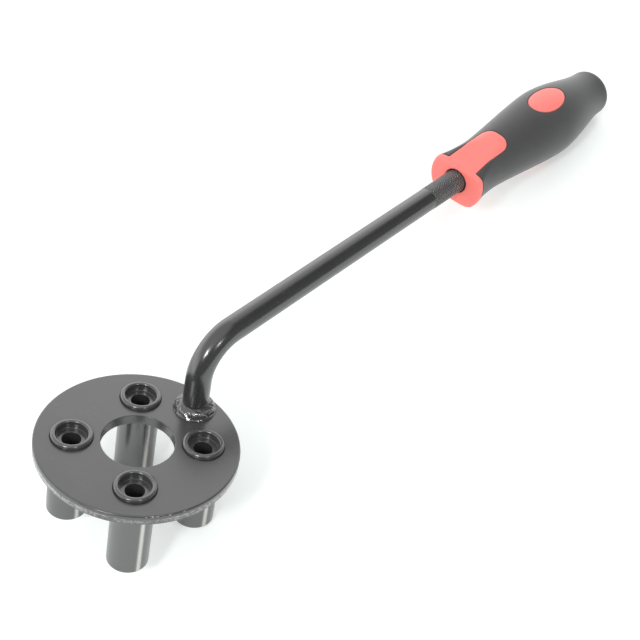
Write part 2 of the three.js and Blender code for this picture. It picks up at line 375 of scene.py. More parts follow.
def plate_quarter(index, height):
    """A quarter of a flat face: rays from the post hole to the quarter's edge, which is the rim's arc, two
    straight sides and the centre hole's arc. The middle of the post hole and the rays come with it."""
    rim, hole = PLATE_RADIUS - PLATE_EDGE_ROUND, CENTRE_HOLE_RADIUS + HOLE_EDGE_ROUND
    eighth = FULL_TURN / (2 * POST_COUNT)
    rim_arc = np.linspace(-eighth, eighth, RIM_SEGMENTS + 1)
    hole_arc = np.linspace(eighth, -eighth, HOLE_SEGMENTS + 1)
    inward = np.linspace(rim, hole, SIDE_STEPS + 1)[1:-1]
    side = np.full_like(inward, eighth)
    around_rim, around_hole = np.full_like(rim_arc, rim), np.full_like(hole_arc, hole)
    radius = join([around_rim, inward, around_hole, inward[::-1], [rim]])
    angle = join([rim_arc, side, hole_arc, -side, [-eighth]])
    edge = np.stack([radius * np.cos(angle), radius * np.sin(angle)], axis=-1)
    middle = np.array([POST_CIRCLE_RADIUS, 0])
    ray = unit(edge - middle)
    start = middle + (POST_HOLE_RADIUS + HOLE_EDGE_ROUND) * ray
    share = (1 - np.cos(np.linspace(0, HALF_TURN, FACE_ROWS)))[:, None, None] / 2
    flat = start + share * (edge - start)
    turn = post_angle(index)
    spin = np.array([[np.cos(turn), np.sin(turn)], [-np.sin(turn), np.cos(turn)]])
    flat, ray, middle = flat @ spin, ray @ spin, middle @ spin
    face = Patch(PLATE.at(flat[..., 0], flat[..., 1], height), flat[..., 0], flat[..., 1])
    return face, middle, ray


def rim_patch():
    """The rim: a quarter round, an upright wall and a second quarter round, with nicks pressed into it."""
    angles = even_turn(POST_COUNT * RIM_SEGMENTS)
    upper, lower = rounded_edges(PLATE_EDGE_ROUND, RIM_ROUND_ROWS, -1)
    wall = np.linspace(-PLATE_EDGE_ROUND, PLATE_EDGE_ROUND - PLATE_THICKNESS, RIM_WALL_ROWS)[1:-1]
    outline = join([upper, np.stack([0 * wall, wall], axis=-1), lower]) + [PLATE_RADIUS, 0]
    down = np.linspace(0, 1, len(outline))[:, None]
    nicks = rim_nicks(angles)
    band = bell(down, *UPPER_BAND) + LOWER_BAND_SHARE * bell(down, *LOWER_BAND)
    between_faces = (down > 0) & (down < 1)
    dent = RIM_NICK_DEPTH * band * between_faces * nicks
    radius = outline[:, :1] - dent
    height = outline[:, 1:] - dent * band
    points = PLATE.at(radius * np.cos(angles), radius * np.sin(angles), height)
    # Partly wear and partly painted reflection: bare steel along the wall, more of it towards the sides
    wall_wear_and_shine = RIM_WEAR_AND_PAINTED_SHINE + RIM_PAINTED_SHINE_MORE * np.sin(angles - RIM_PAINTED_SHINE_LEAST_AT) ** 2
    wall_wear_and_shine = wall_wear_and_shine * smooth_step(*RIM_WEAR_AND_SHINE_STARTS, down) * smooth_step(*RIM_WEAR_AND_SHINE_STOPS, down)
    return Patch(points, outline[:, 1:], PLATE_RADIUS * angles, np.maximum(wall_wear_and_shine, band * nicks))


def plate_patches():
    """Two flat faces in quarters, with rounded walls between them at the rim and in the holes."""
    patches = []
    wall = join(rounded_edges(HOLE_EDGE_ROUND, HOLE_ROUND_ROWS, 1))
    for index in range(POST_COUNT):
        top_face, middle, ray = plate_quarter(index, 0)
        bottom_face = plate_quarter(index, -PLATE_THICKNESS)[0]
        spread = middle + (POST_HOLE_RADIUS + wall[:, :1, None]) * ray
        hole_wall = PLATE.at(spread[..., 0], spread[..., 1], wall[:, 1:])
        patches += [top_face, bottom_face, Patch(hole_wall, spread[..., 0], wall[:, 1:])]
    patches.append(turned(PLATE, wall + [CENTRE_HOLE_RADIUS, 0], even_turn(POST_COUNT * HOLE_SEGMENTS)))
    patches.append(rim_patch())
    return patches


# Hollow posts

POST_SEGMENTS = 144
POST_ARC_STEPS = 8
POST_STEP = 1.2 * MM
# Where each post carries a painted highlight, a stripe of bare-looking steel along it, as a plate angle, and
# the stripe's half width
POST_PAINTED_HIGHLIGHT_AT = np.radians(-103)
POST_PAINTED_HIGHLIGHT_SPREAD = np.radians(8)
# Wear round the foot, and how far up it reaches
FOOT_WEAR = 0.6
FOOT_WEAR_REACH = 0.6 * MM
OUTSIDE_SLACK = 0.01 * MM


def post_patches(index):
    """A bush turned from one closed outline: foot, outside, rounded collar, bolt seat and bore."""
    foot = -PLATE_THICKNESS - POST_REACH
    seat_floor = COLLAR_HEIGHT - SEAT_DEPTH
    corners = np.array([
        (BORE_RADIUS, foot, POST_FOOT_ROUND),
        (POST_RADIUS, foot, POST_FOOT_ROUND),
        (POST_RADIUS, COLLAR_HEIGHT, COLLAR_ROUND),
        (SEAT_RADIUS, COLLAR_HEIGHT, SEAT_LIP_ROUND),
        (SEAT_RADIUS, seat_floor, SEAT_FLOOR_ROUND),
        (BORE_RADIUS, seat_floor, BORE_LIP_ROUND),
    ])
    outline = rounded_outline(corners[:, :2], corners[:, 2], POST_ARC_STEPS, POST_STEP)
    angle = post_angle(index)
    centre = PLATE.at(POST_CIRCLE_RADIUS * np.cos(angle), POST_CIRCLE_RADIUS * np.sin(angle), 0)
    place = Place(centre, *PLATE.directions)
    turn = even_turn(POST_SEGMENTS)
    radius, height = outline[:, :1], outline[:, 1:]
    foot_wear = FOOT_WEAR * bell(height, foot, FOOT_WEAR_REACH)
    outside = (radius > POST_RADIUS - OUTSIDE_SLACK) & (height < -PLATE_THICKNESS)
    # Painted highlight: a stripe down the outside of each post, shown as bare steel
    painted_highlight_stripe = outside * bell(angle_from(POST_PAINTED_HIGHLIGHT_AT, turn), 0, POST_PAINTED_HIGHLIGHT_SPREAD)
    return [turned(place, outline, turn, np.maximum(foot_wear, painted_highlight_stripe))]


# Cranked bar

COLUMNS_PER_TOOTH = 14
BAR_SEGMENTS = KNURL_TEETH * COLUMNS_PER_TOOTH
# Rows of points up the leg, round the bend, along the run, on the knurl and along the tang
BAR_ROWS = (10, 56, 48, 190, 14)
BAR_END_ROWS = 6
# Distances along the centre line from the plate
BEND_END = BAR_LEG + BEND_RADIUS * BEND_ANGLE
KNURL_START = BEND_END + BAR_RUN - KNURL_SHOWN
KNURL_END = BEND_END + BAR_RUN + KNURL_HIDDEN
BAR_END = BEND_END + BAR_RUN + BAR_TANG


def bar_stations():
    """Distances along the centre line, closest together round the bend and on the knurl."""
    marks = (0, BAR_LEG, BEND_END, KNURL_START, KNURL_END, BAR_END - BAR_END_ROUND)
    return np.unique(join([np.linspace(*stretch) for stretch in zip(marks, marks[1:], BAR_ROWS)]))


def knurl(distance, angle):
    """Height of the diamond knurl: the lower of two sets of slanting ridges that cross, with flat crests."""
    pitch = FULL_TURN * BAR_RADIUS / KNURL_TEETH
    turn = KNURL_TEETH * angle / FULL_TURN
    advance = distance * np.tan(KNURL_SLANT) / pitch
    right = 1 - np.abs(2 * ((turn + advance) % 1) - 1)
    left = 1 - np.abs(2 * ((turn - advance) % 1) - 1)
    peak = np.minimum(np.minimum(right, left), KNURL_GROOVE) / KNURL_GROOVE
    return KNURL_ROOT + (KNURL_CREST - KNURL_ROOT) * peak


def bar_patches():
    """A round section carried up the leg, round the bend and along the run, with the knurl on its skin. The
    first row is the middle of the foot, and the last rows round off the end of the tang."""
    distance = bar_stations()
    count = len(distance)
    turn = np.clip((distance - BAR_LEG) / BEND_RADIUS, 0, BEND_ANGLE)
    past = np.maximum(distance - BEND_END, 0)
    ahead = BAR_OFFSET + BEND_RADIUS * (1 - np.cos(turn)) + past * np.cos(BAR_RISE)
    height = np.minimum(distance, BAR_LEG) + BEND_RADIUS * np.sin(turn) + past * np.sin(BAR_RISE)
    angle = even_turn(BAR_SEGMENTS)
    fade = smooth_step(KNURL_START, KNURL_START + KNURL_FADE, distance)
    fade = fade * smooth_step(KNURL_END, KNURL_END - KNURL_FADE, distance)
    radius = BAR_RADIUS + fade[:, None] * knurl(distance[:, None] - KNURL_START, angle)
    end_arc = np.linspace(0, QUARTER_TURN, BAR_END_ROWS)[1:]
    end_scale = 1 + (np.cos(end_arc) - 1) * BAR_END_ROUND / BAR_RADIUS
    rows = join([[0], np.arange(count), np.full(len(end_arc) + 1, count - 1)])
    scale = join([[0], np.ones(count), end_scale, [0]])
    push = join([np.zeros(count + 1), BAR_END_ROUND * np.sin(end_arc), [BAR_END_ROUND]])
    radius, turn = radius[rows] * scale[:, None], turn[rows][:, None]
    ahead = (ahead[rows] + push * np.cos(BAR_RISE))[:, None]
    height = (height[rows] + push * np.sin(BAR_RISE))[:, None]
    outward = radius * np.cos(angle)
    points = PLATE.at(ahead - outward * np.cos(turn), radius * np.sin(angle), height + outward * np.sin(turn))
    crest = fade[rows][:, None] * smooth_step(0, KNURL_CREST, radius - BAR_RADIUS)
    return [Patch(points, distance[rows][:, None], BAR_RADIUS * angle, crest)]


# Weld bead

WELD_SEGMENTS = 420
WELD_ROWS = 34
WELD_BULGE = 1.35
WELD_SEED = 11
# Waves round the bead that make its lumps, and how far each may lean across it
WELD_WAVES = (3, 7, 11, 17, 23, 31)
WELD_WAVE_LEAN = 3
# Place and spread of the roll and of the toe, as shares of the way from the plate to the bar
WELD_ROLL = (0.52, 0.14)
WELD_TOE = (0.1, 0.07)
# Height of the roll where the bead is even, and what its lumps add
ROLL_EVEN = 0.8
ROLL_LUMPS = 0.4
# Where on half a wave the bead's swelling starts at the plate
WELD_FOOT = 0.14
# How far the swelling follows the bead's slope, and how far it goes both ways alike
SWELL_BY_SLOPE = 0.7
SWELL_ALIKE = 0.2
# Where glints are painted on the roll as bare metal, as a plate angle, how far they spread, and on which
# lumps they start
WELD_PAINTED_GLINT_AT = np.radians(-152)
WELD_PAINTED_GLINT_SPREAD = np.radians(56)
WELD_PAINTED_GLINT_LUMPS = (-0.6, 0.4)


def weld_lumps(angle, across):
    """Uneven swelling of the bead: a sum of seeded waves round it and across it, from about -1 to 1."""
    draw = np.random.default_rng(WELD_SEED)
    total = 0
    for waves in WELD_WAVES:
        phase, tilt = draw.uniform(0, FULL_TURN, 2)
        total = total + np.cos(waves * angle + phase + WELD_WAVE_LEAN * tilt * across) / np.sqrt(waves)
    return total


def weld_patches():
    """A bulging fillet between the plate and the bar, with a lumpy roll half way up and a thinner one at its
    toe: two bell curves across the bead, swelled by the lumps."""
    angle = even_turn(WELD_SEGMENTS)[None]
    across = np.linspace(0, 1, WELD_ROWS)[:, None]
    slope = across * QUARTER_TURN
    reach = np.cos(slope) ** (2 / WELD_BULGE)
    rise = np.sin(slope) ** (2 / WELD_BULGE)
    lumps = weld_lumps(angle, across)
    roll = bell(across, *WELD_ROLL)
    toe = WELD_TOE_HEIGHT * bell(across, *WELD_TOE)
    bead = WELD_ROLL_HEIGHT * roll * (ROLL_EVEN + ROLL_LUMPS * lumps) + toe
    fade = np.sin(HALF_TURN * np.clip(across * (1 - WELD_FOOT) + WELD_FOOT, 0, 1)) ** 0.5
    bead = (bead + WELD_LUMP_HEIGHT * lumps) * fade
    outward = np.cos(slope) * SWELL_BY_SLOPE + SWELL_ALIKE
    upward = np.sin(slope) * SWELL_BY_SLOPE + SWELL_ALIKE
    radius = BAR_RADIUS + WELD_WIDTH * reach + bead * outward
    height = WELD_HEIGHT * rise + bead * upward * np.sin(slope) ** 0.5
    inside = np.full_like(radius[:1], BAR_RADIUS - WELD_INTO_BAR)
    ground = np.full_like(height[:1], -WELD_INTO_PLATE)
    radius = join([inside, radius[:1], radius, inside, inside])
    height = join([ground, ground, height, height[-1:], ground])
    points = PLATE.at(BAR_OFFSET + radius * np.cos(angle), radius * np.sin(angle), height)
    # Painted glint: bare-looking metal on the crest of the roll, on the side towards the camera and lamps
    bare_and_painted_shine = bell(angle_from(WELD_PAINTED_GLINT_AT, angle), 0, WELD_PAINTED_GLINT_SPREAD)
    wear_and_painted_shine = roll * smooth_step(*WELD_PAINTED_GLINT_LUMPS, lumps) * bare_and_painted_shine
    wear_and_painted_shine = join([0 * wear_and_painted_shine[:1], wear_and_painted_shine[:1], wear_and_painted_shine, wear_and_painted_shine[-1:], 0 * wear_and_painted_shine[:1]])
    return [Patch(points, height, BAR_RADIUS * angle, wear_and_painted_shine)]


# Handle

# Zones round the tongues and the ovals, with plain turned stretches between and behind them
FRONT_ZONE_END = 46 * MM
OVAL_ZONE_REACH = 18.5 * MM
OVAL_ZONE_START = OVAL_AT - OVAL_ZONE_REACH
OVAL_ZONE_END = OVAL_AT + OVAL_ZONE_REACH
# The side of each edge line, to the right or left of its course, on which the sleeve lies
SLEEVE_SIDE_OF_EDGE = 1
SLEEVE_SIDE_OF_OVAL = -1
# How deep the rubbing of a lip goes, and its spread in rows of the grid
LIP_RUB_DEPTH = LIP_ROUND / 2
LIP_RUB_ROWS = 2
# Least cosine of an angle from the top for which the flat's radius is worked out
LEAST_COSINE = 0.1
OUTLINE_STEPS = 400
HALF_COLUMNS = 110
OVAL_SIDE_STEPS = 34
LIP_STEPS = 6
TIP_FLAT_ROWS = 4
TIP_ROUND_ROWS = 14
TONGUE_SIDE_ROWS = 22
TONGUE_ROOT_ROWS = 10
MIDDLE_ROWS = 9
TAPER_ROWS = 34
BUTT_ROUND_ROWS = 12
BUTT_END_ROWS = 8
MOUTH_ROWS = 5
FRONT_ROWS = 9
STEM_ROWS = 8
SLEEVE_FRONT_ROWS = 18
SLEEVE_OVAL_ROWS = 14
CORE_FRONT_ROWS = 16
CORE_OVAL_ROWS = 12
# Power that draws the rows of a skin closer together near its lip
LIP_CROWDING = 1.4


def swell(first, last, start, end, ease):
    """A smooth curve from one radius to another, level at both ends: distances and radii at even shares. The
    distance is a cubic whose two middle points stand at the shares of ease from the ends."""
    share = np.linspace(0, 1, OUTLINE_STEPS)
    rest = 1 - share
    travelled = 3 * share * rest * (rest * ease[0] + share * (1 - ease[1])) + share ** 3
    return np.stack([start + (end - start) * travelled, first + (last - first) * smooth_step(0, 1, share)])


def handle_outline():
    """Distance and radius down the outside of the handle, from the flange's rounded edge to the butt."""
    share = np.linspace(0, 1, OUTLINE_STEPS)
    edge = np.stack([FLANGE_ROUND * share ** 2, FLANGE_RADIUS - FLANGE_ROUND * (1 - share) ** 2])
    neck = swell(FLANGE_RADIUS, NECK_RADIUS, FLANGE_ROUND, NECK_AT, NECK_EASE)
    belly = swell(NECK_RADIUS, BELLY_RADIUS, NECK_AT, BELLY_AT, BELLY_EASE)
    butt = swell(BELLY_RADIUS, BUTT_RADIUS, BELLY_AT, BUTT_AT, BUTT_EASE)
    return join([edge, neck[:, 1:], belly[:, 1:], butt[:, 1:]], axis=1)


OUTLINE_DISTANCE, OUTLINE_RADIUS = handle_outline()


def handle_radius(distance):
    """Radius of the turned outline, before the flats, read off it at a distance."""
    return np.interp(distance, OUTLINE_DISTANCE, OUTLINE_RADIUS)


def flat_height(distance, flip):
    """Height of the upper or lower flat over the axis, which grows evenly with the distance."""
    return (LOWER_FLAT if flip else TOP_FLAT) + FLAT_SLOPE * distance


def flatted_radius(distance, angle, flip):
    """Radius at an angle from the top, or from below: the smaller of the turned outline and the sloping flat,
    which run into each other over the blend's width."""
    outline = handle_radius(distance)
    flat = flat_height(distance, flip) / np.maximum(np.cos(angle), LEAST_COSINE)
    blend = FLAT_BLEND + (FRONT_BLEND - FLAT_BLEND) * smooth_step(FRONT_BLEND_END, 0, distance)
    near = np.maximum(1 - np.abs(outline - flat) / blend, 0)
    return np.minimum(outline, flat) - near ** 2 * blend / 4


def angle_at(distance, sideways, flip):
    """Angle from the top at which the handle's outside stands a sideways distance from its middle plane."""
    height = np.sqrt(handle_radius(distance) ** 2 - sideways ** 2)
    return np.arctan2(sideways, np.minimum(height, flat_height(distance, flip)))


def on_handle(distance, angle, depth, flip):
    """Points a depth below the handle's outside, at a distance and an angle from the top, or from below."""
    radius = flatted_radius(distance, angle, flip) - depth
    turn = angle + flip * HALF_TURN
    return HANDLE.at(radius * np.cos(turn), radius * np.sin(turn), distance)


def set_off(edge, offset):
    """An edge line moved square to itself, to the right of its course, by an offset on the surface."""
    distance, angle = edge
    course = unit(np.stack([np.gradient(distance), handle_radius(distance) * np.gradient(angle)], axis=-1))
    moved = distance + offset * course[:, 1]
    return np.stack([moved, angle - offset * course[:, 0] / handle_radius(moved)])


def front_edge(flip):
    """Line between flange and sleeve over one half, as distances and angles: along the back of the flange,
    through a fillet, up the tongue's flared side and round its tip, then the same mirrored."""
    across_tip = np.linspace(0, TONGUE_SIDE - TONGUE_TIP_ROUND, TIP_FLAT_ROWS)[:-1]
    tip_arc = np.linspace(0, 1, TIP_ROUND_ROWS)
    corner_at = TONGUE_TIP_AT - TONGUE_TIP_ROUND * tip_arc ** 2
    corner_side = TONGUE_SIDE - TONGUE_TIP_ROUND * (1 - tip_arc) ** 2
    side_start, side_end = TONGUE_TIP_AT - TONGUE_TIP_ROUND, FLANGE_THICKNESS + TONGUE_ROOT_ROUND
    side_at = np.linspace(side_start, side_end, TONGUE_SIDE_ROWS)[1:]
    side = TONGUE_SIDE + TONGUE_FLARE * (1 - smooth_step(FLANGE_THICKNESS / 2, NECK_AT, side_at))
    distance = join([np.full_like(across_tip, TONGUE_TIP_AT), corner_at, side_at])
    angle = angle_at(distance, join([across_tip, corner_side, side]), flip)
    bend = np.linspace(0, QUARTER_TURN, TONGUE_ROOT_ROWS)[1:]
    root_at = FLANGE_THICKNESS + TONGUE_ROOT_ROUND * (1 - np.sin(bend))
    root = handle_radius(distance[-1]) * angle[-1] + TONGUE_ROOT_ROUND * (1 - np.cos(bend))
    root_angle = root / handle_radius(root_at)
    left = HALF_COLUMNS // 2 + 1 - len(distance) - len(bend)
    rest_angle = np.linspace(root_angle[-1], QUARTER_TURN, left + 1)[1:]
    distance = join([distance, root_at, np.full_like(rest_angle, FLANGE_THICKNESS)])
    angle = join([angle, root_angle, rest_angle])
    return np.stack([join([distance[:0:-1], distance]), join([-angle[:0:-1], angle])])


def oval_edge():
    """Outline of the oval, an ellipse seen from above, in step with the edge of the zone round it."""
    eighth = HALF_TURN / 4
    front = np.linspace(-eighth, eighth, HALF_COLUMNS + 1)
    right = np.linspace(eighth, 3 * eighth, OVAL_SIDE_STEPS + 1)[1:]
    back = np.linspace(3 * eighth, 5 * eighth, HALF_COLUMNS + 1)[1:]
    left = np.linspace(5 * eighth, 7 * eighth, OVAL_SIDE_STEPS + 1)[1:]
    round_it = join([front, right, back, left])
    distance = OVAL_AT - OVAL_HALF_LENGTH * np.cos(round_it)
    angle = np.arcsin(OVAL_HALF_WIDTH * np.sin(round_it) / handle_radius(distance))
    return np.stack([distance, angle])


def oval_zone_edge():
    """Edge of the zone round the oval, as a loop: front, right side, back and left side."""
    over = np.linspace(-QUARTER_TURN, QUARTER_TURN, HALF_COLUMNS + 1)
    down = np.linspace(OVAL_ZONE_START, OVAL_ZONE_END, OVAL_SIDE_STEPS + 1)
    front, back = np.full_like(over, OVAL_ZONE_START), np.full_like(over[1:], OVAL_ZONE_END)
    side = np.full_like(down[1:], QUARTER_TURN)
    distance = join([front, down[1:], back, down[-2::-1]])
    return np.stack([distance, join([over, side, over[-2::-1], -side])])


def level_edge(distance):
    """A line straight round one half of the handle."""
    angle = np.linspace(-QUARTER_TURN, QUARTER_TURN, HALF_COLUMNS + 1)
    return np.stack([np.full_like(angle, distance), angle])


def lip_rows():
    """Offsets and depths of a rounded lip, from the bottom of the groove up to the surface."""
    arc = np.linspace(0, QUARTER_TURN, LIP_STEPS + 1)
    offset = GROOVE_HALF_WIDTH + LIP_ROUND * (1 - np.cos(arc))
    depth = LIP_ROUND * (1 - np.sin(arc))
    return join([[offset[0]], offset]), join([[SLEEVE_WALL], depth])


def spread_rows(edge, far_edge, rows, crowding):
    """Lines between two edge lines, at even shares to the power of the crowding. The first is left out."""
    share = (np.linspace(0, 1, rows + 1)[1:] ** crowding)[:, None]
    return edge[0] + share * (far_edge[0] - edge[0]), edge[1] + share * (far_edge[1] - edge[1])


def lipped(edge, side, far_edge, rows, flip, floor=None):
    """A skin from a groove over its rounded lip to a far edge. With a floor, it also goes back from the
    bottom of the groove to the same far edge, at that depth."""
    offsets, depths = lip_rows()
    lines = np.stack([set_off(edge, side * offset) for offset in offsets], axis=1)
    further, wider = spread_rows(lines[:, -1], far_edge, rows, LIP_CROWDING)
    distance, angle = join([lines[0], further]), join([lines[1], wider])
    depth = join([depths[:, None] + 0 * lines[0], 0 * further])
    if floor is not None:
        under, under_angle = spread_rows(lines[:, 0], far_edge, rows, LIP_CROWDING)
        distance = join([under[::-1], distance])
        angle = join([under_angle[::-1], angle])
        depth = join([np.full_like(under, floor), depth])
        depth[rows] = floor
    row = np.arange(len(depth))[:, None]
    rubbed = bell(depth, 0, LIP_RUB_DEPTH) * bell(row, len(offsets), LIP_RUB_ROWS)
    return Patch(on_handle(distance, angle, depth, flip), distance, angle * BELLY_RADIUS, rubbed)


def middle_outline(depth):
    """(Radius, distance) between the tongues' zone and the ovals', a depth below the outside."""
    distance = np.linspace(FRONT_ZONE_END, OVAL_ZONE_START, MIDDLE_ROWS)
    return np.stack([handle_radius(distance) - depth, distance], axis=-1)


def butt_outline(depth):
    """(Radius, distance) from the ovals' zone down the taper and round the butt to the middle of its end, a
    depth below the outside."""
    distance = np.linspace(OVAL_ZONE_END, BUTT_AT, TAPER_ROWS)
    share = np.linspace(0, 1, BUTT_ROUND_ROWS)[1:]
    round_at = HANDLE_LENGTH - BUTT_ROUND * (1 - share) ** 2
    round_radius = BUTT_RADIUS - BUTT_ROUND * share ** 2
    end_radius = np.linspace(round_radius[-1], 0, BUTT_END_ROWS)[1:]
    radius = join([handle_radius(distance), round_radius, end_radius])
    along = join([distance, round_at, np.full_like(end_radius, HANDLE_LENGTH)])
    course = unit(np.gradient(np.stack([radius, along], axis=-1), axis=0))
    inner_radius = np.maximum(radius - depth * course[:, 1], 0)
    inner_along = along + depth * course[:, 0]
    inner_radius[0], inner_along[0] = radius[0] - depth, along[0]
    inner_radius[-1] = 0
    return np.stack([inner_radius, inner_along], axis=-1)


def plain_patches(depth):
    """The turned stretches between and behind the zones, in step with their columns, at a depth."""
    turn = np.linspace(-QUARTER_TURN, 3 * QUARTER_TURN, 2 * HALF_COLUMNS + 1)
    return [turned(HANDLE, middle_outline(depth), turn), turned(HANDLE, butt_outline(depth), turn)]


def sleeve_patches():
    """The soft sleeve: an outer skin with rounded lips at the tongues and ovals, and an inner skin."""
    patches = []
    for flip in (0, 1):
        front = (front_edge(flip), SLEEVE_SIDE_OF_EDGE, level_edge(FRONT_ZONE_END), SLEEVE_FRONT_ROWS)
        oval = (oval_edge(), SLEEVE_SIDE_OF_OVAL, oval_zone_edge(), SLEEVE_OVAL_ROWS)
        patches += [lipped(*front, flip, SLEEVE_WALL), lipped(*oval, flip, SLEEVE_WALL)]
    return patches + plain_patches(0) + plain_patches(SLEEVE_WALL)


def flange_fan(edge):
    """Angles round the flange's front in step with an edge line: its own along the back of the flange, and
    evenly shared out across the tongue."""
    index = np.arange(edge.shape[1])
    kept = edge[0] < FLANGE_THICKNESS + TONGUE_ROOT_ROUND / 2
    return np.interp(index, index[kept], edge[1][kept])


def front_round(fan):
    """How far back the rounding of the front edge reaches: further over the flats than at the sides."""
    return FLANGE_ROUND + FRONT_EASE * smooth_step(*FRONT_EASE_ANGLES, np.abs(fan))


def front_patch(fan, flip):
    """The blind bore, its rounded mouth, the front face and the rounded edge, which follows the flat."""
    edge_radius = flatted_radius(front_round(fan), fan, flip)
    mouth_arc = np.linspace(0, QUARTER_TURN, MOUTH_ROWS)[:, None]
    mouth_radius = CORE_BORE_RADIUS + CORE_BORE_ROUND * (1 - np.cos(mouth_arc))
    share = np.linspace(0, 1, FRONT_ROWS)[:, None]
    face = mouth_radius[-1:] + share[1:-1] * (edge_radius - FLANGE_ROUND - mouth_radius[-1:])
    rounding = edge_radius - FLANGE_ROUND * (1 - share) ** 2
    deep = np.array([[0], [CORE_BORE_RADIUS]]) + 0 * fan
    radius = join([deep, mouth_radius + 0 * fan, face, rounding])
    bore_end = np.full((2, 1), BAR_TANG + MOULD_GAP)
    mouth = CORE_BORE_ROUND * (1 - np.sin(mouth_arc))
    level = join([bore_end, mouth, 0 * share[1:-1]]) + 0 * fan
    distance = join([level, front_round(fan) * share ** 2])
    turn = fan + flip * HALF_TURN
    points = HANDLE.at(radius * np.cos(turn), radius * np.sin(turn), distance)
    return Patch(points, radius, BELLY_RADIUS * fan)


def stem_patch(edge, side, far_edge, depth, flip):
    """Skin of the stem, under the sleeve, from the foot of a tongue or an oval to a far edge."""
    foot = set_off(edge, side * GROOVE_HALF_WIDTH)
    further, wider = spread_rows(foot, far_edge, STEM_ROWS, 1)
    distance = join([foot[:1], foot[:1], further])
    angle = join([foot[1:], foot[1:], wider])
    depths = join([[SLEEVE_WALL], np.full(len(distance) - 1, depth)])[:, None]
    return Patch(on_handle(distance, angle, depths, flip), distance, angle * BELLY_RADIUS)


def core_patches():
    """The hard core: flange, tongues and ovals that fill the sleeve's windows, on a stem inside it."""
    oval = oval_edge()
    stem = SLEEVE_WALL + MOULD_GAP
    spine_length = OVAL_HALF_LENGTH - OVAL_HALF_WIDTH ** 2 / OVAL_HALF_LENGTH
    spine = np.stack([np.clip(oval[0], OVAL_AT - spine_length, OVAL_AT + spine_length), 0 * oval[1]])
    edge_side, oval_side = -SLEEVE_SIDE_OF_EDGE, -SLEEVE_SIDE_OF_OVAL
    patches = []
    for flip in (0, 1):
        edge = front_edge(flip)
        fan = flange_fan(edge)
        flange_line = np.stack([front_round(fan), fan])
        patches += [
            front_patch(fan, flip),
            lipped(edge, edge_side, flange_line, CORE_FRONT_ROWS, flip),
            lipped(oval, oval_side, spine, CORE_OVAL_ROWS, flip),
            stem_patch(edge, edge_side, level_edge(FRONT_ZONE_END), stem, flip),
            stem_patch(oval, oval_side, oval_zone_edge(), stem, flip),
        ]
    return patches + plain_patches(stem)


# Finishes

def operators(operation):
    """An operator and its reflected form, which add a Math node for a value on its left or on its right."""

    def left(self, other):
        return self.finish.node("Math", {0: self, 1: other}, operation=operation)

    def right(self, other):
        return self.finish.node("Math", {0: other, 1: self}, operation=operation)

    return left, right


class Value:
    """A shader socket that adds, takes away and multiplies as a number does, by adding Math nodes."""

    __add__, __radd__ = operators("ADD")
    __sub__, __rsub__ = operators("SUBTRACT")
    __mul__, __rmul__ = operators("MULTIPLY")

    def __init__(self, finish, socket):
        self.finish = finish
        self.socket = socket


class Finish:
    """A node tree and what adds nodes to it."""

    def __init__(self, owner):
        owner.use_nodes = True
        self.owner = owner
        self.tree = owner.node_tree
        self.tree.nodes.clear()

    def node(self, kind, sockets, output=0, **settings):
        """An output of a new node: its settings come first, then a value or a link for each socket."""
        node = self.tree.nodes.new(f"ShaderNode{kind}")
        for name, setting in settings.items():
            setattr(node, name, setting)
        for key, value in sockets.items():
            if isinstance(value, Value):
                self.tree.links.new(value.socket, node.inputs[key])
            else:
                node.inputs[key].default_value = value
        return Value(self, node.outputs[output])

    def noise(self, where, scale, detail=3.0, roughness=0.55, stretch=(1, 1, 1)):
        """Noise from 0 to 1 with grains about 1/scale metres across, drawn out where the stretch is small."""
        drawn = self.node("Mapping", {"Vector": where, "Scale": stretch})
        sockets = {"Vector": drawn, "Scale": scale, "Detail": detail, "Roughness": roughness}
        return self.node("TexNoise", sockets, "Fac")

    def ramp(self, value, low, high):
        """0 below low, 1 above high, smooth between."""
        sockets = {"Value": value, "From Min": low, "From Max": high}
        return self.node("MapRange", sockets, interpolation_type="SMOOTHSTEP")

    def mix(self, share, first, second):
        """A colour between two, by a share from 0 to 1."""
        colours = {0: share, 6: colour(first), 7: colour(second)}
        return self.node("Mix", colours, 2, data_type="RGBA")

    def measure(self):
        """The measure along and across a piece's patches, in metres."""
        return self.node("UVMap", {}, uv_map="measure")

    def wear_and_painted_shine(self):
        """The share of wear and painted shine that a piece's points carry."""
        return self.node("Attribute", {}, "Fac", attribute_name="wear_and_painted_shine")

    def bump(self, height, depth):
        """A normal bent by a height from 0 to 1 that stands for a depth in metres."""
        return self.node("Bump", {"Height": height, "Distance": depth, "Strength": 1.0})

    def end(self, kind, shader):
        """Links a shader to an output node, which ends the tree."""
        self.tree.links.new(shader.socket, self.tree.nodes.new(f"ShaderNode{kind}").inputs["Surface"])

    def surface(self, sockets):
        """The finished material, with a value or a link for each socket of its shader."""
        self.end("OutputMaterial", self.node("BsdfPrincipled", sockets))
        return self.owner


def new_finish(name):
    """A finish for a new material, and the place of its points in the frame, in metres."""
    finish = Finish(bpy.data.materials.new(name))
    return finish, finish.node("TexCoord", {}, "Object")


def colour(value):
    """A grey or an RGB triple as the four numbers of a colour socket; a link stays as it is."""
    if isinstance(value, Value):
        return value
    red, green, blue = np.broadcast_to(value, 3)
    return (red, green, blue, 1.0)


# Bare steel, for worn paint and for painted highlights and reflections; then the pale metal of the weld's
# painted glints
BARE_STEEL_AND_PAINTED_SHINE = (0.56, 0.55, 0.53)
WELD_PAINTED_GLINT_COLOUR = (0.42, 0.41, 0.39)
